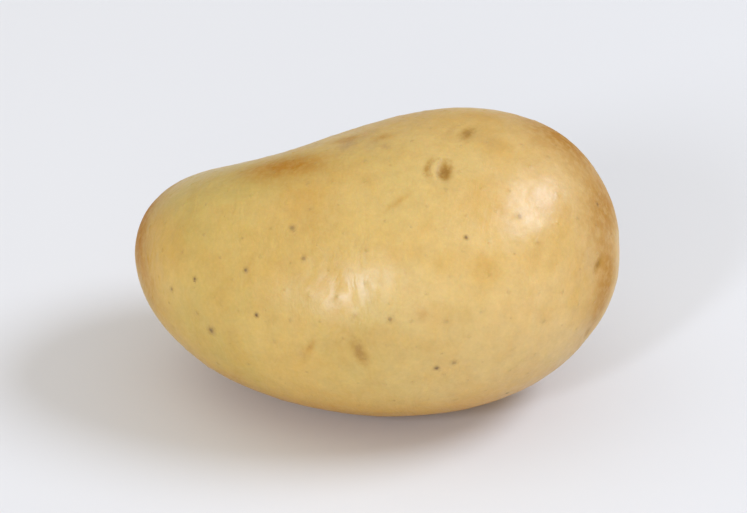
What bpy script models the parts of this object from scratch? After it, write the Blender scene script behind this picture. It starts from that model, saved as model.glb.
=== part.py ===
"""One whole washed potato of a waxy, yellow-skinned kind, lying on its small flat resting spot.

Units are metres and +Z is up. The origin is the middle of the potato's box, on the surface it lies on.
+X runs along the potato, from its narrow stem end to its broad rose end, and -Y is its full front.
"""

import math

import bmesh
import bpy
from mathutils import Vector
from mathutils.bvhtree import BVHTree

# Overall size
LENGTH = 0.080  # stem end to rose end, along X
WIDTH = 0.0557  # front to back, along Y
THICKNESS = 0.0475  # resting spot to top, along Z
REST_DEPTH = 0.0006  # how far the underside is pressed flat where it rests

# Form. A place on the skin is (along, around). Along runs from -1 at the stem end to 1 at the rose end.
# Around is an angle about the long axis: 0 at the front, 90 on top, 180 at the back and -90 underneath.
BOW = 0.0024  # how far the two ends bend back from the middle

# Broad swells and hollows in the form: the place, the reach in degrees of the ball, and the height
SWELLS = {
    "waist": (-0.51, 120, 34, -0.0072),
    "front hollow": (-0.28, 33, 18, -0.0020),
    "shoulder": (0.52, 112, 36, 0.0060),
    "blunt tip": (0.93, -3, 31, -0.0015),
}

# Eyes: shallow dimples, closer together towards the rose end
EYE_WIDTH = 0.0050
EYE_DEPTH = 0.0005
EYES = [
    (0.33, 74),
    (0.35, 98),
    (0.09, -2),
    (0.97, 60),
    (0.94, 178),
    (0.93, -68),
    (0.66, -118),
    (0.56, 152),
    (0.10, 136),
    (-0.12, -142),
    (-0.46, 168),
    (-0.52, -74),
]

# Stolon scar: the pit where the tuber hung on its runner
SCAR_PLACE = (-0.97, 150)
SCAR_WIDTH = 0.0044
SCAR_DEPTH = 0.0012

CAGE_CUTS = 5  # cuts along each edge of the cube that the cage starts from
CAGE_LEVELS = 2  # rounds of subdivision


def clear_scene():
    for obj in list(bpy.data.objects):
        bpy.data.objects.remove(obj)


def skin_material():
    material = bpy.data.materials.new("potato_skin")
    material.use_nodes = True
    shader = material.node_tree.nodes["Principled BSDF"]
    shader.inputs["Base Color"].default_value = (0.65, 0.43, 0.16, 1.0)
    shader.inputs["Roughness"].default_value = 0.42
    shader.inputs["Metallic"].default_value = 0.0
    return material


def ball_direction(along, around):
    """The direction of a place on the skin, for a ball of radius 1."""
    ring = math.sqrt(1 - along * along)
    angle = math.radians(around)
    return Vector((along, -ring * math.cos(angle), ring * math.sin(angle)))


def shaped(direction):
    """Where the form puts the point of the unit ball that lies in this direction."""
    size = Vector((LENGTH, WIDTH, THICKNESS))
    point = direction * size / 2
    point.y += BOW * direction.x**2
    outwards = Vector((direction.x / size.x, direction.y / size.y, direction.z / size.z)).normalized()
    for along, around, reach, height in SWELLS.values():
        away = math.degrees(direction.angle(ball_direction(along, around)))
        point += outwards * height * math.exp(-((away / reach) ** 2))
    return point


def coarse_cage():
    """A cube cut into a grid, rounded into a ball and given the potato's form."""
    mesh = bpy.data.meshes.new("potato_cage")
    cage = bmesh.new()
    bmesh.ops.create_cube(cage, size=2)
    bmesh.ops.subdivide_edges(cage, edges=cage.edges[:], cuts=CAGE_CUTS, use_grid_fill=True)
    for vert in cage.verts:
        vert.co = shaped(vert.co.normalized())
    cage.to_mesh(mesh)
    cage.free()
    return bpy.data.objects.new("potato_cage", mesh)


def subdivided(cage, collection):
    """The cage's smooth surface, as a mesh of its own."""
    collection.objects.link(cage)
    smoother = cage.modifiers.new("Subdivision", "SUBSURF")
    smoother.levels = CAGE_LEVELS
    smoother.render_levels = CAGE_LEVELS
    graph = bpy.context.evaluated_depsgraph_get()
    mesh = bpy.data.meshes.new_from_object(cage.evaluated_get(graph))
    bpy.data.objects.remove(cage)
    return mesh


def bring_to_size(form):
    """Scales the form to its overall size and sets it down so that only the resting spot is below Z = 0."""
    low = Vector(min(vert.co[axis] for vert in form.verts) for axis in range(3))
    high = Vector(max(vert.co[axis] for vert in form.verts) for axis in range(3))
    size = Vector((LENGTH, WIDTH, THICKNESS + REST_DEPTH))
    scale = Vector(size[axis] / (high[axis] - low[axis]) for axis in range(3))
    middle = (low + high) / 2
    bmesh.ops.translate(form, vec=-middle, verts=form.verts)
    bmesh.ops.scale(form, vec=scale, verts=form.verts)
    bmesh.ops.translate(form, vec=(0, 0, size.z / 2 - REST_DEPTH), verts=form.verts)


def place_on_skin(form_tree, along, around):
    """The point and the outward normal where a ray from the middle meets the skin."""
    middle = Vector((0, 0, THICKNESS / 2))
    direction = ball_direction(along, around)
    ray = Vector((direction.x * LENGTH, direction.y * WIDTH, direction.z * THICKNESS)).normalized()
    point, normal, _, _ = form_tree.ray_cast(middle, ray)
    return point, normal


def press_dimple(form, form_tree, place, width, depth):
    """Pushes the skin in around a place, deepest at its middle."""
    centre, normal = place_on_skin(form_tree, *place)
    for vert in form.verts:
        share = (vert.co - centre).length / (width / 2)
        vert.co -= normal * depth * math.exp(-(share**2))


def flatten_underside(form):
    """Cuts the form at Z = 0 and closes the cut with one flat face."""
    everything = form.verts[:] + form.edges[:] + form.faces[:]
    cut = bmesh.ops.bisect_plane(
        form, geom=everything, plane_co=(0, 0, 0), plane_no=(0, 0, -1), clear_outer=True
    )
    rim = [element for element in cut["geom_cut"] if isinstance(element, bmesh.types.BMEdge)]
    bmesh.ops.holes_fill(form, edges=rim)


def make_potato():
    clear_scene()
    collection = bpy.data.collections.new("potato")
    bpy.context.scene.collection.children.link(collection)

    mesh = subdivided(coarse_cage(), collection)
    form = bmesh.new()
    form.from_mesh(mesh)
    bring_to_size(form)
    form_tree = BVHTree.FromBMesh(form)
    for place in EYES:
        press_dimple(form, form_tree, place, EYE_WIDTH, EYE_DEPTH)
    press_dimple(form, form_tree, SCAR_PLACE, SCAR_WIDTH, SCAR_DEPTH)
    flatten_underside(form)
    bmesh.ops.recalc_face_normals(form, faces=form.faces)
    form.to_mesh(mesh)
    form.free()

    mesh.name = "potato"
    mesh.shade_smooth()
    mesh.materials.append(skin_material())
    potato = bpy.data.objects.new("potato", mesh)
    collection.objects.link(potato)
    return potato


make_potato()
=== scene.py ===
import math

import bmesh
import bpy
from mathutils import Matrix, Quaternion, Vector
from mathutils.bvhtree import BVHTree


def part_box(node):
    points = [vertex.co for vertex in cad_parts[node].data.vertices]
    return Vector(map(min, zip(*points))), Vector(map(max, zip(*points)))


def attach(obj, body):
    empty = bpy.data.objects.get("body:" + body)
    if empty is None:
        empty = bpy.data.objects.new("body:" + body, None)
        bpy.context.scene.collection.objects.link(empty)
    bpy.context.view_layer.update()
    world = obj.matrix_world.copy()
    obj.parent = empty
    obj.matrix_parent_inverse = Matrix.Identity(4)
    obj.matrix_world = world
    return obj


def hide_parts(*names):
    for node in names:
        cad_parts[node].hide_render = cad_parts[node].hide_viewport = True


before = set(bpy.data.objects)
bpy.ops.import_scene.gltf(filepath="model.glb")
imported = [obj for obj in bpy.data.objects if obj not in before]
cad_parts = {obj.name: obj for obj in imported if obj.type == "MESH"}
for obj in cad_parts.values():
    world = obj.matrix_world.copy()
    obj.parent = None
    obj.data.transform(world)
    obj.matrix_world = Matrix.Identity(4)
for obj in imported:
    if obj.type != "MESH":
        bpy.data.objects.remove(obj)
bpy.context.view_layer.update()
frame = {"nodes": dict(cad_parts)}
print("frame loaded:", ", ".join(frame["nodes"]))

potatoLow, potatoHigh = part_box("potato")
potatoSize = potatoHigh - potatoLow
potatoMiddle = (potatoLow + potatoHigh) / 2
scene = bpy.context.scene


class Wire:
    # one output socket: sums written on it add Math nodes to its tree
    def __init__(self, bench, socket):
        self.bench = bench
        self.socket = socket

    def out(self, name):
        return Wire(self.bench, pickedSocket(self.socket.node.outputs, name))

    def __add__(self, other):
        return self.bench.math("ADD", self, other)

    def __radd__(self, other):
        return self.bench.math("ADD", other, self)

    def __sub__(self, other):
        return self.bench.math("SUBTRACT", self, other)

    def __rsub__(self, other):
        return self.bench.math("SUBTRACT", other, self)

    def __mul__(self, other):
        return self.bench.math("MULTIPLY", self, other)

    def __truediv__(self, other):
        return self.bench.math("DIVIDE", self, other)

    def __rtruediv__(self, other):
        return self.bench.math("DIVIDE", other, self)


def pickedSocket(sockets, name):
    # by its number or, among the enabled ones, by its name
    if isinstance(name, int):
        return sockets[name]
    return next(socket for socket in sockets if socket.name == name and socket.enabled)


class Bench:
    # builds the nodes of one tree, for geometry or for a material
    def __init__(self, tree):
        self.tree = tree

    def add(self, kind, settings, values, output=0):
        # the new node's output, or None for a node without one
        node = self.tree.nodes.new(kind)
        for name, value in settings.items():
            if name == "closing":
                node.pair_with_output(value.socket.node)  # the two ends of a repeat zone
            else:
                setattr(node, name, value)
        for name, value in values.items():
            self.feed(pickedSocket(node.inputs, name), value)
        if not node.outputs:
            return None
        return Wire(self, pickedSocket(node.outputs, output))

    def feed(self, socket, value):
        # a list feeds a socket that takes several links
        if isinstance(value, list):
            for each in value:
                self.feed(socket, each)
        elif isinstance(value, Wire):
            self.tree.links.new(value.socket, socket)
        else:
            socket.default_value = value

    def math(self, operation, *values):
        return self.add("ShaderNodeMath", {"operation": operation}, dict(enumerate(values)))

    def bell(self, share):
        # 1 where share is 0, dying away smoothly on both sides by about 2
        return self.math("EXPONENT", share * share * -1.0)

    def clamped(self, value):
        return self.add("ShaderNodeClamp", {}, {"Value": value})

    def vector(self, operation, *values, output=0):
        return self.add("ShaderNodeVectorMath", {"operation": operation}, dict(enumerate(values)), output)

    def dot(self, first, second):
        return self.vector("DOT_PRODUCT", first, second, output="Value")

    def length(self, value):
        return self.vector("LENGTH", value, output="Value")

    def join(self, x, y, z):
        return self.add("ShaderNodeCombineXYZ", {}, {"X": x, "Y": y, "Z": z})

    def split(self, value):
        first = self.add("ShaderNodeSeparateXYZ", {}, {0: value})
        return first, first.out("Y"), first.out("Z")

    def ramp(self, value, low, high):
        # 0 below low, 1 above high, smooth between
        return self.add(
            "ShaderNodeMapRange",
            {"interpolation_type": "SMOOTHSTEP"},
            {"Value": value, "From Min": low, "From Max": high},
            "Result",
        )

    def mixed(self, share, first, second, blend="MIX"):
        return self.add(
            "ShaderNodeMix",
            {"data_type": "RGBA", "blend_type": blend},
            {"Factor": share, "A": first, "B": second},
            "Result",
        )

    def noise(self, place, size, detail, roughness=0.5):
        # size is the width of one cloud, in metres
        return self.add(
            "ShaderNodeTexNoise",
            {"noise_dimensions": "3D"},
            {"Vector": place, "Scale": 1 / size, "Detail": detail, "Roughness": roughness},
            "Fac",
        )

    def repeated(self, geometry, times, step):
        # passes the geometry through step(geometry, number of the round) this many times
        closing = self.add("GeometryNodeRepeatOutput", {}, {})
        opening = self.add(
            "GeometryNodeRepeatInput",
            {"closing": closing},
            {"Iterations": times, "Geometry": geometry},
            "Geometry",
        )
        self.feed(closing.socket.node.inputs["Geometry"], step(opening, opening.out("Iteration")))
        return closing

    def finish(self, geometry, material):
        # the end of a geometry tree
        geometry = self.add("GeometryNodeRealizeInstances", {}, {"Geometry": geometry})
        geometry = self.add("GeometryNodeSetMaterial", {}, {"Geometry": geometry, "Material": material})
        self.add("NodeGroupOutput", {}, {"Geometry": geometry})


def newGeometryTree(name, inputs):
    # inputs: the name of each and its socket type
    tree = bpy.data.node_groups.new(name, "GeometryNodeTree")
    tree.interface.new_socket(name="Geometry", in_out="INPUT", socket_type="NodeSocketGeometry")
    tree.interface.new_socket(name="Geometry", in_out="OUTPUT", socket_type="NodeSocketGeometry")
    for inputName, socketType in inputs.items():
        tree.interface.new_socket(name=inputName, in_out="INPUT", socket_type=socketType)
    bench = Bench(tree)
    return bench, bench.add("NodeGroupInput", {}, {})


def growMesh(piece, tree, values):
    # runs the tree on the piece with these input values and keeps the result as its plain mesh
    modifier = piece.modifiers.new(tree.name, "NODES")
    modifier.node_group = tree
    for item in tree.interface.items_tree:
        if item.in_out == "INPUT" and item.name in values:
            modifier[item.identifier] = values[item.name]
    keepEvaluated(piece)


def keepEvaluated(piece):
    graph = bpy.context.evaluated_depsgraph_get()
    mesh = bpy.data.meshes.new_from_object(
        piece.evaluated_get(graph), preserve_all_data_layers=True, depsgraph=graph
    )
    piece.modifiers.clear()
    piece.data = mesh


def newObject(name, mesh):
    obj = bpy.data.objects.new(name, mesh)
    scene.collection.objects.link(obj)
    return obj


# A place on the skin is (along, around): along runs from -1 at the stem end to 1 at the rose end, and
# around is 0 at the front, 90 on top, 180 at the back and -90 underneath, in degrees. A mark's wide, long,
# deep, brow and radius are in mm: wide and long are half its size, wide runs round the potato, and turn
# swings both, in degrees. An eye's brow stands on its stem side, with painted shadow beyond it.
potatoLooks = {
    "weld": 0.000001,  # points of the solid closer than this are one, in metres
    "smoothing": 2,  # rounds of subdivision before the skin is rebuilt
    "grain": 0.00043,  # edge of the fine mesh, in metres
    "relaxing": 45,  # passes that take the steps out of the fine mesh
    "relaxingStrength": 0.5,
    "relief": {
        "Swell Height": 0.00022,  # slow unevenness, in metres
        "Swell Spacing": 0.014,
        "Dimple Height": 0.00008,
        "Dimple Spacing": 0.0030,
        "Bud Height": 0.00022,
        "Eye Reach": 0.0044,  # an eye and its brow end here, so neighbours never meet
        "Patch Reach": 0.030,  # a patch ends here, so it never shows on the far side
        "Lenticel Density": 300000.0,  # to a square metre, before the spacing thins them
        "Lenticel Spacing": 0.0042,
        "Lenticel Smallest": 0.00018,  # radius
        "Lenticel Largest": 0.00042,
        "Lenticel Height": 0.00005,
        "Lenticel Darkest": 0.14,
        "Scar Radius": 0.0017,
        "Scar Height": 0.00030,
        "Seed": 11,
    },
    "scar": (-0.97, 150),  # where the potato hung on its stem
    "eyes": [
        {"at": (0.33, 74), "wide": 2.3, "long": 1.35, "deep": 0.50,
         "brow": 0.16, "fold": 0.9, "tint": 1.2, "turn": 8},
        {"at": (0.35, 95), "wide": 2.4, "long": 1.3, "deep": 0.30,
         "brow": 0.08, "fold": 0.3, "tint": 0.9, "turn": -10},
        {"at": (0.09, -4), "wide": 2.9, "long": 1.35, "deep": 0.30,
         "brow": 0.08, "fold": 0.25, "tint": 0.68, "turn": 28},
        {"at": (0.97, 60), "wide": 1.7, "long": 0.75, "deep": 0.25,
         "brow": 0.03, "fold": 0.1, "tint": 0.9, "turn": -35},
        {"at": (0.94, 178), "wide": 2.2, "long": 1.4, "deep": 0.50,
         "brow": 0.20, "fold": 1, "tint": 1, "turn": 12},
        {"at": (0.93, -68), "wide": 1.8, "long": 1.2, "deep": 0.15,
         "brow": 0.08, "fold": 0.4, "tint": 0.4, "turn": -8},
        {"at": (0.66, -118), "wide": 2.1, "long": 1.3, "deep": 0.40,
         "brow": 0.16, "fold": 0.8, "tint": 0.8, "turn": 5},
        {"at": (0.56, 152), "wide": 2.3, "long": 1.4, "deep": 0.45,
         "brow": 0.18, "fold": 0.9, "tint": 0.9, "turn": -6},
        {"at": (0.1, 136), "wide": 2.4, "long": 1.4, "deep": 0.40,
         "brow": 0.16, "fold": 0.7, "tint": 0.8, "turn": 10},
        {"at": (-0.12, -142), "wide": 2.4, "long": 1.4, "deep": 0.35,
         "brow": 0.14, "fold": 0.8, "tint": 0.8, "turn": 0},
        {"at": (-0.46, 168), "wide": 2.2, "long": 1.3, "deep": 0.30,
         "brow": 0.12, "fold": 0.5, "tint": 0.7, "turn": -12},
        {"at": (-0.52, -74), "wide": 2, "long": 1.2, "deep": 0.30,
         "brow": 0.12, "fold": 0.6, "tint": 0.7, "turn": 8},
    ],
    # rubbed and sun-tinted patches, and painted shade along the edges at both ends, along the top edge of
    # the rose half and in the hollow of the waist
    "smudgesAndShade": [
        {"at": (-0.37, 74), "wide": 7.5, "long": 3.6, "tint": 1.25, "turn": 86},
        # painted shade at the stem end's edge
        {"at": (-0.98, 50), "wide": 12.0, "long": 4.2, "tint": 1.4, "turn": 0},
        # painted shade along the top edge of the rose half
        {"at": (0.64, 120), "wide": 8.5, "long": 9.0, "tint": 1.3, "turn": 0},
        {"at": (0.88, 112), "wide": 8.5, "long": 5.0, "tint": 1.2, "turn": 0},
        # painted shade at the rose end's edge
        {"at": (0.995, 50), "wide": 10.0, "long": 3.2, "tint": 1.1, "turn": 0},
        {"at": (0.99, -10), "wide": 9.0, "long": 4.0, "tint": 0.4, "turn": 0},
        {"at": (-0.11, -4), "wide": 1.8, "long": 0.6, "tint": 0.6, "turn": -25},
        {"at": (0.18, 57), "wide": 2.2, "long": 0.5, "tint": 0.6, "turn": -40},
        {"at": (-0.13, 92), "wide": 1.6, "long": 2.6, "tint": 0.8, "turn": 0},
        {"at": (0.04, 90), "wide": 1.2, "long": 1.8, "tint": 0.8, "turn": 30},
        {"at": (0.34, 13), "wide": 0.9, "long": 0.6, "tint": 0.5, "turn": 0},
        # painted shade in the hollow of the waist
        {"at": (-0.20, 54), "wide": 7.5, "long": 5.0, "tint": 0.32, "turn": 40},
        {"at": (0.12, 106), "wide": 8.0, "long": 12.0, "tint": 0.30, "turn": -10},
        {"at": (0.10, -72), "wide": 8.0, "long": 12.0, "tint": 0.8, "turn": 10},
        {"at": (-0.30, 150), "wide": 4.0, "long": 7.0, "tint": 0.7, "turn": -20},
        {"at": (0.40, 175), "wide": 5.0, "long": 3.0, "tint": 0.6, "turn": 25},
    ],
    # greyish rubs
    "scuffs": [
        {"at": (-0.11, 86), "wide": 2.6, "long": 1.7, "tint": 0.75, "turn": 0},
        {"at": (0.01, 84), "wide": 1.6, "long": 1.3, "tint": 0.50, "turn": 0},
        {"at": (0.07, 83), "wide": 0.9, "long": 0.8, "tint": 0.75, "turn": 0},
        {"at": (-0.04, 95), "wide": 2.4, "long": 2.6, "tint": 0.40, "turn": 0},
        {"at": (0.44, 92), "wide": 2.0, "long": 1.2, "tint": 0.35, "turn": 30},
        {"at": (-0.15, -8), "wide": 1.0, "long": 0.6, "tint": 0.35, "turn": 0},
        {"at": (-0.66, 150), "wide": 2.0, "long": 3.0, "tint": 0.50, "turn": 20},
        {"at": (0.30, -150), "wide": 3.0, "long": 2.0, "tint": 0.45, "turn": -30},
        {"at": (0.78, 150), "wide": 1.6, "long": 2.2, "tint": 0.40, "turn": 0},
    ],
    # where the fine wrinkles round the girth stand out
    "puckers": [
        {"at": (0.02, 24), "wide": 5.5, "long": 4.5, "tint": 1.0, "turn": 0},
        {"at": (0.56, 50), "wide": 3.0, "long": 4.5, "tint": 0.5, "turn": 0},
        {"at": (0.92, 20), "wide": 6.0, "long": 4.0, "tint": 0.4, "turn": 0},
        {"at": (-0.90, 20), "wide": 7.0, "long": 3.5, "tint": 0.4, "turn": 0},
        {"at": (-0.35, 138), "wide": 8.0, "long": 5.0, "tint": 0.8, "turn": 0},
        {"at": (0.25, 175), "wide": 7.0, "long": 5.0, "tint": 0.8, "turn": 0},
        {"at": (0.50, -135), "wide": 7.0, "long": 5.0, "tint": 0.6, "turn": 0},
        {"at": (-0.45, -100), "wide": 7.0, "long": 5.0, "tint": 0.6, "turn": 0},
    ],
    # dark specks
    "specks": [
        {"at": (-0.25, 43), "radius": 0.51, "dark": 0.50},
        {"at": (-0.43, 23), "radius": 0.37, "dark": 0.75},
        {"at": (-0.64, 14), "radius": 0.34, "dark": 0.90},
        {"at": (-0.74, 3), "radius": 0.37, "dark": 0.45},
        {"at": (-0.35, 5), "radius": 0.34, "dark": 0.95},
        {"at": (-0.54, -9), "radius": 0.61, "dark": 0.75},
        {"at": (0.47, 47), "radius": 0.34, "dark": 0.75},
        {"at": (0.64, 62), "radius": 0.51, "dark": 0.35},
        {"at": (0.21, 11), "radius": 0.46, "dark": 0.45},
        {"at": (0.39, -12), "radius": 0.39, "dark": 0.85},
        {"at": (0.46, -10), "radius": 0.46, "dark": 0.40},
        {"at": (-0.18, 31), "radius": 0.39, "dark": 0.40},
        {"at": (-0.60, 110), "radius": 0.43, "dark": 0.70},
        {"at": (-0.28, 120), "radius": 0.34, "dark": 0.85},
        {"at": (-0.05, 165), "radius": 0.49, "dark": 0.60},
        {"at": (0.24, 170), "radius": 0.37, "dark": 0.80},
        {"at": (0.42, 128), "radius": 0.41, "dark": 0.55},
        {"at": (0.74, -162), "radius": 0.39, "dark": 0.75},
        {"at": (-0.70, -150), "radius": 0.55, "dark": 0.55},
        {"at": (-0.34, -112), "radius": 0.37, "dark": 0.80},
        {"at": (0.30, -95), "radius": 0.44, "dark": 0.60},
        {"at": (0.62, -48), "radius": 0.34, "dark": 0.80},
        {"at": (0.86, 100), "radius": 0.37, "dark": 0.60},
    ],
}


def makeForm():
    # the solid's own shape, made fine and smooth
    mesh = frame["nodes"]["potato"].data.copy()
    solid = bmesh.new()
    solid.from_mesh(mesh)
    bmesh.ops.remove_doubles(solid, verts=solid.verts, dist=potatoLooks["weld"])
    solid.to_mesh(mesh)
    solid.free()
    mesh.materials.clear()
    piece = newObject("potatoSkin", mesh)
    smoother = piece.modifiers.new("Subdivision", "SUBSURF")
    smoother.levels = potatoLooks["smoothing"]
    smoother.render_levels = potatoLooks["smoothing"]
    rebuild = piece.modifiers.new("Remesh", "REMESH")
    rebuild.mode = "VOXEL"
    rebuild.voxel_size = potatoLooks["grain"]
    relax = piece.modifiers.new("Smooth", "SMOOTH")
    relax.factor = potatoLooks["relaxingStrength"]
    relax.iterations = potatoLooks["relaxing"]
    keepEvaluated(piece)
    return piece


def skinPoint(skinTree, along, around):
    # where a ray from the middle of the potato comes out, and the way that the skin faces there
    ring = math.sqrt(1 - along * along)
    angle = math.radians(around)
    ray = Vector((along, -ring * math.cos(angle), ring * math.sin(angle))) * potatoSize
    point, normal, _, _ = skinTree.ray_cast(potatoMiddle, ray.normalized())
    return point, normal


def markPoints(name, skinTree, marks, columns):
    # one point on the skin for each mark, which carries the mark's directions and these values of it
    found = [skinPoint(skinTree, *mark["at"]) for mark in marks]
    mesh = bpy.data.meshes.new(name)
    mesh.from_pydata([point for point, normal in found], [], [])
    crosswise = []
    lengthwise = []
    for mark, (point, normal) in zip(marks, found):
        across = normal.cross(Vector((1, 0, 0))).normalized()
        along = across.cross(normal).normalized()
        turn = math.radians(mark.get("turn", 0))
        crosswise.extend(across * math.cos(turn) - along * math.sin(turn))
        lengthwise.extend(along * math.cos(turn) + across * math.sin(turn))
    for column, values in {"crosswise": crosswise, "lengthwise": lengthwise}.items():
        mesh.attributes.new(column, "FLOAT_VECTOR", "POINT").data.foreach_set("vector", values)
    for column, unit in columns.items():
        values = [mark[column] * unit for mark in marks]
        mesh.attributes.new(column, "FLOAT", "POINT").data.foreach_set("value", values)
    return newObject(name, mesh)


# the parts of every eye, in shares of its half width and half length: how far each lies from the middle of
# the hollow, and how narrow and how short it is beside the hollow, as divisors
eyeParts = {
    "bend": 0.40,  # how far the brow and its painted shadow curve round the hollow
    "browAway": 1.35,
    "browNarrow": 1.7,
    "browShort": 0.8,
    "browShadowAway": 2.1,
    "browShadowNarrow": 2.2,
    "budNarrow": 2.1,
    "budShort": 2.3,
}


def eyeShape(bench, across, along):
    # each part is 1 at its middle and dies away round it
    parts = eyeParts
    bow = along - across * across * parts["bend"]
    sides = bench.bell(across)
    hollow = sides * bench.bell(along)
    brow = bench.bell((bow + parts["browAway"]) * parts["browNarrow"])
    brow = brow * bench.bell(across * parts["browShort"])
    fold = bench.bell((bow + parts["browShadowAway"]) * parts["browShadowNarrow"]) * sides
    bud = bench.bell(across * parts["budShort"]) * bench.bell(along * parts["budNarrow"])
    return hollow, brow, fold, bud


def named(bench, name, dataType="FLOAT"):
    return bench.add("GeometryNodeInputNamedAttribute", {"data_type": dataType}, {"Name": name})


def markRead(bench, place, points, index):
    # the way from the mark of this index to each place on the skin, and a reader of the mark's values
    def sampled(dataType, value):
        return bench.add(
            "GeometryNodeSampleIndex",
            {"data_type": dataType, "domain": "POINT"},
            {"Geometry": points, "Value": value, "Index": index},
        )

    def read(name, dataType="FLOAT"):
        return sampled(dataType, named(bench, name, dataType))

    return bench.vector("SUBTRACT", place, sampled("FLOAT_VECTOR", place)), read


def nearestMark(bench, place, points):
    # the same for the mark that lies nearest to each place
    index = bench.add(
        "GeometryNodeSampleNearest", {"domain": "POINT"}, {"Geometry": points, "Sample Position": place}
    )
    return markRead(bench, place, points, index)


def shares(bench, offset, read):
    # how far a place lies across and along its mark, as shares of the mark's own size
    across = bench.dot(offset, read("crosswise", "FLOAT_VECTOR")) / read("wide")
    along = bench.dot(offset, read("lengthwise", "FLOAT_VECTOR")) / read("long")
    return across, along


def makeReliefTree():
    inputs = {name: "NodeSocketFloat" for name in potatoLooks["relief"]}
    inputs["Seed"] = "NodeSocketInt"
    inputs["Scar Place"] = "NodeSocketVector"
    inputs.update({name: "NodeSocketObject" for name in ("Eyes", "SmudgesAndShade", "Scuffs", "Puckers", "Specks")})
    inputs["Material"] = "NodeSocketMaterial"
    bench, start = newGeometryTree("skinRelief", inputs)
    place = bench.add("GeometryNodeInputPosition", {}, {})
    normal = bench.add("GeometryNodeInputNormal", {}, {})

    def pointsOf(name):
        return bench.add("GeometryNodeObjectInfo", {}, {"Object": start.out(name)}, "Geometry")

    def storedOn(geometry, dataType, values):
        for name, value in values.items():
            geometry = bench.add(
                "GeometryNodeStoreNamedAttribute",
                {"data_type": dataType, "domain": "POINT"},
                {"Geometry": geometry, "Name": name, "Value": value},
            )
        return geometry

    def scaled(vector, share):
        return bench.vector("MULTIPLY", vector, bench.join(share, share, share))

    fadeFrom = 0.75  # the share of its reach at which a mark begins to fade

    def within(offset, name):
        # 1 near a mark, and 0 past this reach of it
        reach = start.out(name)
        return 1.0 - bench.ramp(bench.length(offset), reach * fadeFrom, reach)

    # eyes: a hollow with a bud in it, and a bent brow. The brow's painted shadow is only drawn on the skin
    offset, read = nearestMark(bench, place, pointsOf("Eyes"))
    across, along = shares(bench, offset, read)
    eyeSpot = bench.join(across, along, 0.0)
    near = within(offset, "Eye Reach")
    eyeTint = read("tint") * near
    eyeFold = read("fold")
    hollow, brow, _, bud = eyeShape(bench, across, along)
    eyeHeight = (brow * read("brow") - hollow * read("deep") + bud * start.out("Bud Height")) * near

    # smudges with their painted shade, scuffs and puckers may overlap, so each is laid on in turn
    def laidOn(geometry, name, patches):
        count = bench.add("GeometryNodeAttributeDomainSize", {}, {"Geometry": patches}, "Point Count")

        def step(geometry, index):
            offset, read = markRead(bench, place, patches, index)
            across, along = shares(bench, offset, read)
            before = named(bench, name)
            patch = bench.bell(across) * bench.bell(along) * read("tint") * within(offset, "Patch Reach")
            return storedOn(geometry, "FLOAT", {name: before + patch * (1.0 - before)})

        return bench.repeated(geometry, count, step)

    marked = laidOn(start.out("Geometry"), "smudge", pointsOf("SmudgesAndShade"))
    marked = laidOn(marked, "scuff", pointsOf("Scuffs"))
    marked = laidOn(marked, "pucker", pointsOf("Puckers"))

    # lenticels strewn over the skin, and the dark specks among them
    strewn = bench.add(
        "GeometryNodeDistributePointsOnFaces",
        {"distribute_method": "POISSON"},
        {
            "Mesh": start.out("Geometry"),
            "Distance Min": start.out("Lenticel Spacing"),
            "Density Max": start.out("Lenticel Density"),
            "Seed": start.out("Seed"),
        },
        "Points",
    )
    radius = bench.add(
        "FunctionNodeRandomValue",
        {"data_type": "FLOAT"},
        {
            "Min": start.out("Lenticel Smallest"),
            "Max": start.out("Lenticel Largest"),
            "Seed": start.out("Seed"),
        },
        "Value",
    )
    dark = bench.add(
        "FunctionNodeRandomValue",
        {"data_type": "FLOAT"},
        {"Min": 0.0, "Max": start.out("Lenticel Darkest"), "Seed": start.out("Seed") + 1.0},
        "Value",
    )
    strewn = bench.add("GeometryNodePointsToVertices", {}, {"Points": strewn})
    strewn = storedOn(strewn, "FLOAT", {"radius": radius, "dark": dark})
    dots = bench.add("GeometryNodeJoinGeometry", {}, {"Geometry": [strewn, pointsOf("Specks")]})
    offset, read = nearestMark(bench, place, dots)
    dotSpot = scaled(offset, 1.0 / read("radius"))
    dotAway = bench.length(dotSpot)
    dotDark = read("dark")
    lenticelNarrow = 0.8
    lenticel = bench.bell(dotAway * lenticelNarrow) * start.out("Lenticel Height")

    # the stem scar: a stub in a corky ring
    fromScar = bench.vector("SUBTRACT", place, start.out("Scar Place"))
    scarSpot = scaled(fromScar, 1.0 / start.out("Scar Radius"))
    scarAway = bench.length(scarSpot)
    ringNarrow = 3.2
    stubNarrow = 2.6
    ring = bench.bell((scarAway - 1.0) * ringNarrow)
    stub = bench.bell(scarAway * stubNarrow)
    scar = (ring + stub) * start.out("Scar Height")

    def waves(name, detail):
        # clouds of unevenness, as high above the skin as below it
        spacing = 1.0 / start.out(name + " Spacing")
        cloud = bench.noise(scaled(place, spacing), 1, detail)
        return (cloud - 0.5) * start.out(name + " Height") * 2.0

    height = eyeHeight + lenticel + scar + waves("Swell", 1.0) + waves("Dimple", 2.0)
    x, y, z = bench.split(bench.vector("ADD", place, scaled(normal, height)))
    moved = bench.join(x, y, bench.math("MAXIMUM", z, 0.0))  # the resting spot stays flat

    vectors = {"eyeSpot": eyeSpot, "dotSpot": dotSpot, "scarSpot": scarSpot}
    numbers = {"eyeTint": eyeTint, "eyeFold": eyeFold, "dotAway": dotAway, "dotDark": dotDark}
    geometry = storedOn(marked, "FLOAT_VECTOR", vectors)
    geometry = storedOn(geometry, "FLOAT", numbers)
    geometry = bench.add("GeometryNodeSetPosition", {}, {"Geometry": geometry, "Position": moved})
    bench.finish(geometry, start.out("Material"))
    return bench.tree


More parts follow.
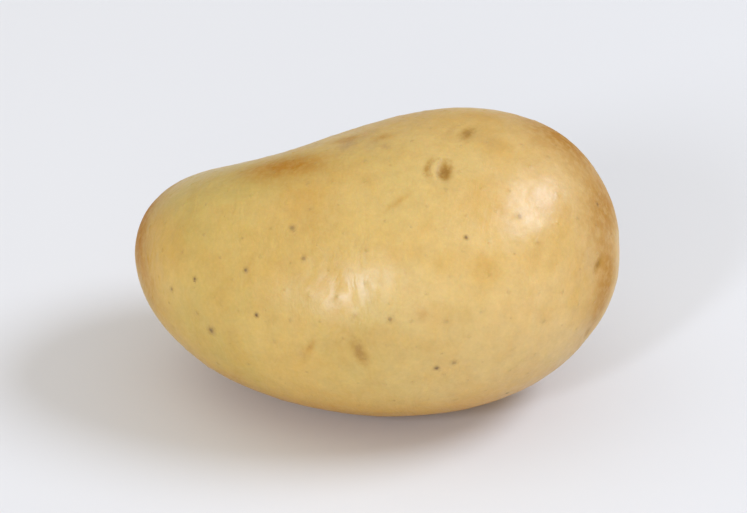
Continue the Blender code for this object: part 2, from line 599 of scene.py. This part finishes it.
skin = {
    "straw": (0.590, 0.394, 0.102, 1),
    "olive": (0.525, 0.368, 0.088, 1),
    "honey": (0.585, 0.338, 0.060, 1),
    "cream": (0.695, 0.465, 0.186, 1),
    # amber of the blotches, and of the painted shade near the ground
    "amberAndGroundShade": (0.500, 0.235, 0.020, 1),
    # tan of the smudges, and of the painted shade along the edges and in the waist's hollow
    "smudgeAndShadeTan": (0.410, 0.178, 0.012, 1),
    "scuff": (0.385, 0.230, 0.085, 1),
    "eyeHollow": (0.360, 0.175, 0.010, 1),
    "eyeBud": (0.230, 0.098, 0.004, 1),
    # painted shadow beyond each eye's brow
    "fold": (0.400, 0.205, 0.025, 1),
    # painted highlight along each eye's raised brow
    "brow": (0.680, 0.480, 0.170, 1),
    "lenticel": (0.330, 0.190, 0.045, 1),
    "speck": (0.150, 0.080, 0.022, 1),
    "cork": (0.300, 0.180, 0.075, 1),
    # layers of clouds: the width of one cloud in metres, and how far off the layer is read
    "layers": {
        "drift": {"size": 0.026, "detail": 2.0, "rough": 0.50, "shift": 0.0},
        "clouds": {"size": 0.017, "detail": 3.0, "rough": 0.55, "shift": 0.31},
        "blotches": {"size": 0.0058, "detail": 3.0, "rough": 0.60, "shift": 0.12},
        "patchy": {"size": 0.0013, "detail": 4.0, "rough": 0.60, "shift": 0.0},
        "mottle": {"size": 0.0024, "detail": 3.0, "rough": 0.60, "shift": 0.0},
        "grain": {"size": 0.0006, "detail": 3.0, "rough": 0.65, "shift": 0.0},
        "wobble": {"size": 0.0009, "detail": 3.0, "rough": 0.60, "shift": 0.07},
        "pores": {"size": 0.0011, "detail": 3.0, "rough": 0.60, "shift": 0.0},
        "bend": {"size": 0.006, "detail": 2.0, "rough": 0.50, "shift": 0.19},
        "wrinkles": {"size": 0.0009, "detail": 3.0, "rough": 0.55, "shift": 0.0},
    },
    "shiftWay": (1.0, 0.6, 0.3),  # the way in which layers are read off
    # the strengths at which a patch of a layer begins and is full
    "patches": {
        "drift": (0.40, 0.62),
        "clouds": (0.46, 0.70),
        "blotches": (0.40, 0.72),
        "patchy": (0.34, 0.62),
        "wrinkles": (0.42, 0.60),
        "pores": (0.46, 0.66),
    },
    # how strongly each tone lies over the ones before it
    "creamAtRose": 0.75,
    "creamFrom": -0.2,  # in lengths of the potato from its middle
    "honeyClouds": 0.60,
    "amberBlotches": 0.22,
    # painted shade: amber laid over the skin near the ground, darker towards the bottom
    "paintedGroundShade": 0.85,
    "groundShadeFade": (0.05, 0.32),  # in heights of the potato above the ground
    "darkest": 0.80,  # the share of the colour that is left where the mottle and the grain are darkest
    "mottling": 0.26,
    "graining": 0.14,
    # how much of a mark's colour shows where the skin is least patchy, and what the patches add
    "cover": {
        "smudge": (0.62, 0.25),
        "scuff": (0.30, 0.60),
        "eyeHollow": (0.65, 0.25),
        "fold": (0.50, 0.40),
    },
    # where the edge of a mark runs: in strength for the parts of an eye, in radii for dots and the scar
    "edges": {
        "eyeHollow": (0.05, 0.95),
        "eyeBud": (0.10, 0.90),
        "raisedBrow": (0.35, 0.75),
        "sunkenBud": (0.05, 0.80),
        "dot": (1.8, 2.6),
        "core": (0.15, 1.15),
        "halo": (0.9, 2.2),
        "cork": (0.9, 1.9),
        "stub": (0.2, 0.75),
    },
    "haloCover": (0.02, 0.55),  # round the palest dot, and what a dark one adds
    "browHighlightCover": 0.35,
    "budCover": 0.45,
    "scarCover": 0.85,
    "stubCover": 0.80,
    # how far the edges of marks wander, in shares of the mark
    "ragged": {"eyeWide": 0.9, "eyeLong": 0.7, "dot": 1.2, "scar": 0.5},
    # wrinkles run round the potato: how far they wander, in metres, and how finely they lie each way
    "wrinkleWander": 0.006,
    "wrinkleFineness": (1.0, 0.26, 0.26),
    # how high each part of the fine texture stands in the bump
    "height": {"pores": 0.50, "wrinkles": 0.60, "puckered": 0.90, "dots": 0.40, "eyes": 0.50},
    "bumpStrength": 0.42,
    "bumpDepth": 0.0005,
    "roughness": 0.30,
    "roughened": {"texture": 0.10, "marks": 0.25, "dots": 0.20},  # what they add to the roughness
    "coat": 0.32,
    "dulled": {"wrinkles": 0.20, "puckered": 0.50, "pores": 0.15, "smudgesAndShade": 0.60},  # shares off the coat
    "finish": {
        "Subsurface Weight": 0.20,
        "Subsurface Radius": (1.0, 0.42, 0.12),
        "Subsurface Scale": 0.0030,
        "Specular IOR Level": 0.14,
        "Coat Roughness": 0.33,
        "Coat IOR": 2.2,
    },
}


def makeSkinMaterial():
    material = bpy.data.materials.new("skin")
    material.use_nodes = True
    bench = Bench(material.node_tree)
    shader = material.node_tree.nodes["Principled BSDF"]
    place = bench.add("ShaderNodeTexCoord", {}, {}, "Object")
    x, y, z = bench.split(place)

    def stored(name, output="Fac"):
        return bench.add("ShaderNodeAttribute", {"attribute_name": name}, {}, output)

    def layer(name, at=place):
        values = skin["layers"][name]
        shift = tuple(values["shift"] * share for share in skin["shiftWay"])
        elsewhere = bench.vector("ADD", at, shift)
        return bench.noise(elsewhere, values["size"], values["detail"], values["rough"])

    def inPatches(cloud, name):
        return bench.ramp(cloud, *skin["patches"][name])

    # tones that drift over the skin: straw and olive, honey in clouds, cream at the rose end, and painted
    # shade in amber near the ground
    drift = inPatches(layer("drift"), "drift")
    clouds = inPatches(layer("clouds"), "clouds")
    blotches = inPatches(layer("blotches"), "blotches")
    low, high = skin["groundShadeFade"]
    toRose = bench.ramp(x, potatoMiddle.x + potatoSize.x * skin["creamFrom"], potatoHigh.x)
    # painted shade: amber towards the ground, where the floor shades the potato
    groundShade = 1.0 - bench.ramp(z, potatoSize.z * low, potatoSize.z * high)
    colour = bench.mixed(drift, skin["straw"], skin["olive"])
    colour = bench.mixed(toRose * skin["creamAtRose"], colour, skin["cream"])
    colour = bench.mixed(clouds * skin["honeyClouds"], colour, skin["honey"])
    colour = bench.mixed(blotches * skin["amberBlotches"], colour, skin["amberAndGroundShade"])
    colour = bench.mixed(groundShade * skin["paintedGroundShade"], colour, skin["amberAndGroundShade"])

    # fine mottling
    mottle = layer("mottle")
    grain = layer("grain")
    shade = skin["darkest"] + mottle * skin["mottling"] + grain * skin["graining"]
    colour = bench.mixed(1.0, colour, bench.join(shade, shade, shade), "MULTIPLY")

    # smudges with their painted shade along the edges and in the waist's hollow, and scuffs, broken up
    patchy = inPatches(layer("patchy"), "patchy")

    def brokenUp(mask, name):
        least, more = skin["cover"][name]
        return mask * (least + patchy * more)

    def strong(strength, name):
        # 1 where a part of a mark is strong, 0 past its edge
        return bench.ramp(strength, *skin["edges"][name])

    def inside(away, name):
        # 1 in the middle of a round mark, 0 past its edge
        return 1.0 - bench.ramp(away, *skin["edges"][name])

    smudge = brokenUp(stored("smudge"), "smudge")
    # painted shade along the edges and in the waist's hollow comes in with the smudges
    colour = bench.mixed(smudge, colour, skin["smudgeAndShadeTan"])
    colour = bench.mixed(brokenUp(stored("scuff"), "scuff"), colour, skin["scuff"])

    # eyes
    ragged = skin["ragged"]
    wobble = layer("wobble") - 0.5
    across, along, _ = bench.split(stored("eyeSpot", "Vector"))
    across = across + wobble * ragged["eyeWide"]
    along = along + wobble * ragged["eyeLong"]
    hollow, brow, fold, bud = eyeShape(bench, across, along)
    eyeMask = stored("eyeTint")
    browMask = eyeMask * stored("eyeFold")
    # painted highlight: paler along the raised brow
    browHighlight = bench.clamped(brow * browMask * skin["browHighlightCover"])
    # painted shadow: darker in a band beyond the brow
    browShaded = bench.clamped(brokenUp(fold * browMask, "fold"))
    stained = bench.clamped(brokenUp(strong(hollow, "eyeHollow") * eyeMask, "eyeHollow"))
    budded = bench.clamped(strong(bud, "eyeBud") * eyeMask * skin["budCover"])
    colour = bench.mixed(browHighlight, colour, skin["brow"])
    colour = bench.mixed(browShaded, colour, skin["fold"])
    colour = bench.mixed(stained, colour, skin["eyeHollow"])
    colour = bench.mixed(budded, colour, skin["eyeBud"])
    puffed = strong(brow, "raisedBrow") * browMask - strong(bud, "sunkenBud") * eyeMask

    # lenticels and specks: a core with a faint ring round it, in shares of the radius
    dotAway = bench.length(stored("dotSpot", "Vector")) + (grain - 0.5) * ragged["dot"]
    dotMask = inside(stored("dotAway"), "dot")
    dark = stored("dotDark")
    core = inside(dotAway, "core") * dotMask
    halo = inside(dotAway, "halo") * dotMask
    least, more = skin["haloCover"]
    colour = bench.mixed(halo * (least + dark * more), colour, skin["lenticel"])
    colour = bench.mixed(core * dark, colour, skin["speck"])

    # stem scar: cork, with a dark stub in its middle
    scarAway = bench.length(stored("scarSpot", "Vector")) + wobble * ragged["scar"]
    corked = inside(scarAway, "cork") * skin["scarCover"]
    stubbed = inside(scarAway, "stub") * skin["stubCover"]
    colour = bench.mixed(corked, colour, skin["cork"])
    colour = bench.mixed(stubbed, colour, skin["eyeBud"])

    # the fine texture: pores, and short wrinkles round the girth
    pores = layer("pores")
    bend = (layer("bend") - 0.5) * skin["wrinkleWander"]
    girth = bench.vector("MULTIPLY", bench.join(x + bend, y, z), skin["wrinkleFineness"])
    wrinkles = layer("wrinkles", girth)
    pucker = stored("pucker")
    height = skin["height"]
    texture = pores * height["pores"] + wrinkles * (height["wrinkles"] + pucker * height["puckered"])
    texture = texture + core * height["dots"] + puffed * height["eyes"]
    bump = bench.add(
        "ShaderNodeBump",
        {},
        {"Strength": skin["bumpStrength"], "Distance": skin["bumpDepth"], "Height": texture},
        "Normal",
    )

    # gloss, which the same texture breaks up
    rough = skin["roughened"]
    roughness = skin["roughness"] + (mottle + wrinkles) * rough["texture"]
    roughness = roughness + (smudge + stained) * rough["marks"] + core * rough["dots"]
    dull = skin["dulled"]
    dulled = inPatches(wrinkles, "wrinkles") * (dull["wrinkles"] + pucker * dull["puckered"])
    dulled = dulled + inPatches(pores, "pores") * dull["pores"] + smudge * dull["smudgesAndShade"]
    coat = (1.0 - bench.clamped(dulled)) * skin["coat"]

    bench.feed(shader.inputs["Base Color"], colour)
    bench.feed(shader.inputs["Roughness"], roughness)
    bench.feed(shader.inputs["Normal"], bump)
    bench.feed(shader.inputs["Coat Weight"], coat)
    for name, value in skin["finish"].items():
        shader.inputs[name].default_value = value
    return material


studio = {
    "cameraTurn": 12,  # degrees towards the rose end
    "cameraHeight": 30,  # degrees above the table
    "cameraDistance": 0.9,
    "pictureWidth": 0.122,  # metres across at the potato
    "floorColour": (0.755, 0.742, 0.728, 1),
    "floorRoughness": 0.8,
    "floorReach": 4.0,  # metres each way from the potato
    "skyColour": (1.0, 0.985, 0.965, 1),
    "skyStrength": 0.54,
    "lampDistance": 1.6,
    "cool": (0.88, 0.98, 1.18),
    "warm": (1.05, 1.00, 0.92),
    # towards each lamp, as seen from the camera; sizes in metres, roll in degrees, power in watts
    "lamps": {
        "rightBox": {
            "towards": (0.69, 0.02, 0.73), "wide": 0.95, "high": 0.60,
            "roll": 0, "power": 14.0, "colour": "cool",
        },
        "leftBox": {
            "towards": (-0.41, -0.78, 0.46), "wide": 0.42, "high": 0.18,
            "roll": 80, "power": 6.8, "colour": "cool",
        },
        "frontBox": {
            "towards": (-0.20, -0.93, 0.28), "wide": 1.4, "high": 1.2,
            "roll": 0, "power": 6.0, "colour": "warm",
        },
        "overhead": {
            "towards": (-0.60, 0.10, 1.0), "wide": 1.4, "high": 1.4,
            "roll": 0, "power": 2.5, "colour": "warm",
        },
    },
}


def cameraTurned(direction):
    # a direction given as seen from the camera, turned into the potato's own frame
    angle = math.radians(studio["cameraTurn"])
    x, y, z = direction
    turned = (x * math.cos(angle) - y * math.sin(angle), x * math.sin(angle) + y * math.cos(angle), z)
    return Vector(turned).normalized()


def makeFloor():
    side = studio["floorReach"]
    mesh = bpy.data.meshes.new("floor")
    corners = [(-side, -side, 0), (side, -side, 0), (side, side, 0), (-side, side, 0)]
    mesh.from_pydata(corners, [], [(0, 1, 2, 3)])
    floor = newObject("floor", mesh)
    paper = bpy.data.materials.new("paper")
    paper.use_nodes = True
    shader = paper.node_tree.nodes["Principled BSDF"]
    shader.inputs["Base Color"].default_value = studio["floorColour"]
    shader.inputs["Roughness"].default_value = studio["floorRoughness"]
    mesh.materials.append(paper)


def makeLight():
    world = bpy.data.worlds.new("studio")
    scene.world = world
    world.use_nodes = True
    background = world.node_tree.nodes["Background"]
    background.inputs["Color"].default_value = studio["skyColour"]
    background.inputs["Strength"].default_value = studio["skyStrength"]
    for name, lamp in studio["lamps"].items():
        light = bpy.data.lights.new(name, "AREA")
        light.shape = "ELLIPSE"
        light.size = lamp["wide"]
        light.size_y = lamp["high"]
        light.energy = lamp["power"]
        light.color = studio[lamp["colour"]]
        obj = newObject(name, light)
        direction = cameraTurned(lamp["towards"])
        roll = Quaternion((0, 0, 1), math.radians(lamp["roll"]))
        obj.location = potatoMiddle + direction * studio["lampDistance"]
        obj.rotation_euler = (direction.to_track_quat("Z", "Y") @ roll).to_euler()
        obj.visible_camera = False


def makeCamera():
    view = bpy.data.cameras.new("camera")
    camera = newObject("camera", view)
    lift = math.radians(studio["cameraHeight"])
    back = cameraTurned((0, -math.cos(lift), math.sin(lift)))
    camera.location = potatoMiddle + back * studio["cameraDistance"]
    camera.rotation_euler = back.to_track_quat("Z", "Y").to_euler()
    view.sensor_width = 36
    view.lens = view.sensor_width * studio["cameraDistance"] / studio["pictureWidth"]
    scene.camera = camera
    scene.view_settings.view_transform = "Standard"


def makePotato():
    potato = makeForm()
    print("form made:", len(potato.data.vertices), "points")
    skinTree = BVHTree.FromObject(potato, bpy.context.evaluated_depsgraph_get())
    millimetre = 0.001
    speck = {"radius": millimetre, "dark": 1}
    patch = {"wide": millimetre, "long": millimetre, "tint": 1}
    eye = {**patch, "deep": millimetre, "brow": millimetre, "fold": 1}
    helpers = {
        "Eyes": markPoints("eyePoints", skinTree, potatoLooks["eyes"], eye),
        "SmudgesAndShade": markPoints("smudgePoints", skinTree, potatoLooks["smudgesAndShade"], patch),
        "Scuffs": markPoints("scuffPoints", skinTree, potatoLooks["scuffs"], patch),
        "Puckers": markPoints("puckerPoints", skinTree, potatoLooks["puckers"], patch),
        "Specks": markPoints("speckPoints", skinTree, potatoLooks["specks"], speck),
    }
    scarPlace, _ = skinPoint(skinTree, *potatoLooks["scar"])
    values = {**potatoLooks["relief"], **helpers, "Scar Place": scarPlace, "Material": makeSkinMaterial()}
    growMesh(potato, makeReliefTree(), values)
    for helper in helpers.values():
        bpy.data.objects.remove(helper)
    potato.data.shade_smooth()
    print("skin made:", len(potato.data.polygons), "faces")
    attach(potato, "root")
    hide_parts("potato")


makePotato()
makeFloor()
makeLight()
makeCamera()
print("setting made")
